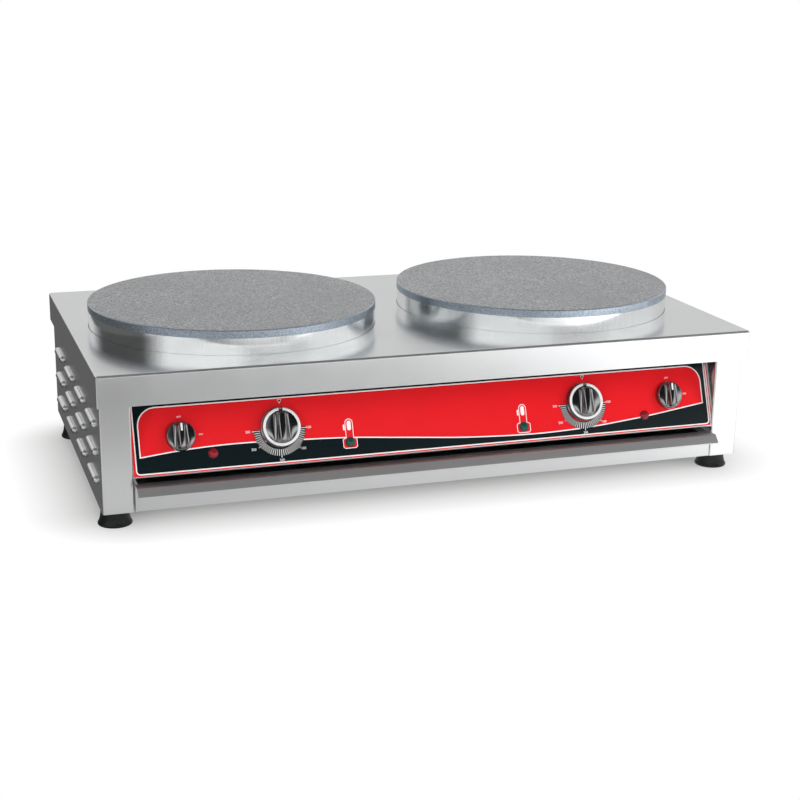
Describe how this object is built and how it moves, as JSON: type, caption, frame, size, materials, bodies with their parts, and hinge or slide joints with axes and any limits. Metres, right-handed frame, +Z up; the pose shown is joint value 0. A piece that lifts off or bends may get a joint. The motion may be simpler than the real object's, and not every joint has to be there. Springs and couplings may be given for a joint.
{
  "type": "electric crepe maker",
  "caption": "Countertop crepe maker: round cast plates side by side on a folded stainless body, with a tilted control panel, thermostat and switch knobs and a pull-out crumb drawer.",
  "frame": {"origin": "on the table, under the middle of the outer box", "axes": "+X to the right along the front, +Y to the back, +Z up"},
  "size_m": [0.9106, 0.526, 0.2398],
  "materials": {
    "cover_steel": "satin folded stainless sheet",
    "side_steel": "satin stainless sheet",
    "cast_plate": "machined cast iron, blasted cooking face",
    "collar_steel": "polished stainless collar",
    "panel_film": "printed film, red field over black",
    "zinc_steel": "zinc plated steel",
    "loop_metal": "dark oxidised heating tube",
    "insulation": "ceramic fibre disc",
    "copper_tube": "drawn copper",
    "knob_plastic": "black moulded thermoset",
    "knob_ring": "bright ring",
    "pointer_white": "white inlay",
    "case_plastic": "dark moulded case",
    "lens_green": "translucent green lens",
    "lens_red": "translucent red lens",
    "foot_rubber": "black moulded rubber",
    "gland_plastic": "black nylon",
    "block_plastic": "pale moulded block"
  },
  "bodies": {
    "root": {"back_panel": "side_steel", "back_screws": "zinc_steel", "cable_gland": "gland_plastic", "clamp_disc_left": "zinc_steel", "clamp_disc_right": "zinc_steel", "clamp_nuts": "zinc_steel", "control_panel": "side_steel", "drawer_runner_left": "zinc_steel", "drawer_runner_right": "zinc_steel", "foot_front_left": "foot_rubber", "foot_front_right": "foot_rubber", "foot_nuts": "zinc_steel", "foot_rear_left": "foot_rubber", "foot_rear_right": "foot_rubber", "foot_screws": "zinc_steel", "gland_nut": "gland_plastic", "heater_bowl_left": "collar_steel", "heater_bowl_right": "collar_steel", "heating_loops_left": "loop_metal", "heating_loops_right": "loop_metal", "inner_floor": "zinc_steel", "insulation_left": "insulation", "insulation_right": "insulation", "lamp_bodies_left": "case_plastic", "lamp_bodies_right": "case_plastic", "lens_green_left": "lens_green", "lens_green_right": "lens_green", "lens_red_left": "lens_red", "lens_red_right": "lens_red", "panel_film": "panel_film", "plate_left": "cast_plate", "plate_right": "cast_plate", "rail_front": "zinc_steel", "rail_rear": "zinc_steel", "rail_screws": "zinc_steel", "side_panel_left": "side_steel", "side_panel_right": "side_steel", "switch_left": "case_plastic", "switch_right": "case_plastic", "terminal_block": "block_plastic", "thermostat_left": "case_plastic", "thermostat_probe_left": "copper_tube", "thermostat_probe_right": "copper_tube", "thermostat_right": "case_plastic", "tie_bolts": "zinc_steel", "top_cover": "cover_steel"},
    "drawer": {"drawer_front": "cover_steel", "drawer_tray": "side_steel"},
    "thermostat_dial_left": {"thermostat_knob_left": "knob_plastic", "knob_ring_left": "knob_ring", "thermostat_spindle_left": "zinc_steel"},
    "switch_dial_left": {"switch_knob_left": "knob_plastic", "switch_pointer_left": "pointer_white", "switch_spindle_left": "zinc_steel"},
    "thermostat_dial_right": {"thermostat_knob_right": "knob_plastic", "knob_ring_right": "knob_ring", "thermostat_spindle_right": "zinc_steel"},
    "switch_dial_right": {"switch_knob_right": "knob_plastic", "switch_pointer_right": "pointer_white", "switch_spindle_right": "zinc_steel"}
  },
  "joints": [
    {"name": "drawer_slide", "type": "slide", "parent": "root", "child": "drawer", "axis": [0, -1, 0], "range_m": [0, 0.38]},
    {"name": "thermostat_turn_left", "type": "hinge", "parent": "root", "child": "thermostat_dial_left", "pos_m": [-0.2155, -0.22032, 0.114], "axis": [0, 0.9367, -0.3502], "range_deg": [0, 270]},
    {"name": "switch_turn_left", "type": "hinge", "parent": "root", "child": "switch_dial_left", "pos_m": [-0.346, -0.22049, 0.11353], "axis": [0, 0.9367, -0.3502], "range_deg": [0, 90]},
    {"name": "thermostat_turn_right", "type": "hinge", "parent": "root", "child": "thermostat_dial_right", "pos_m": [0.2155, -0.22032, 0.114], "axis": [0, 0.9367, -0.3502], "range_deg": [0, 270]},
    {"name": "switch_turn_right", "type": "hinge", "parent": "root", "child": "switch_dial_right", "pos_m": [0.346, -0.22049, 0.11353], "axis": [0, 0.9367, -0.3502], "range_deg": [0, 90]}
  ]
}
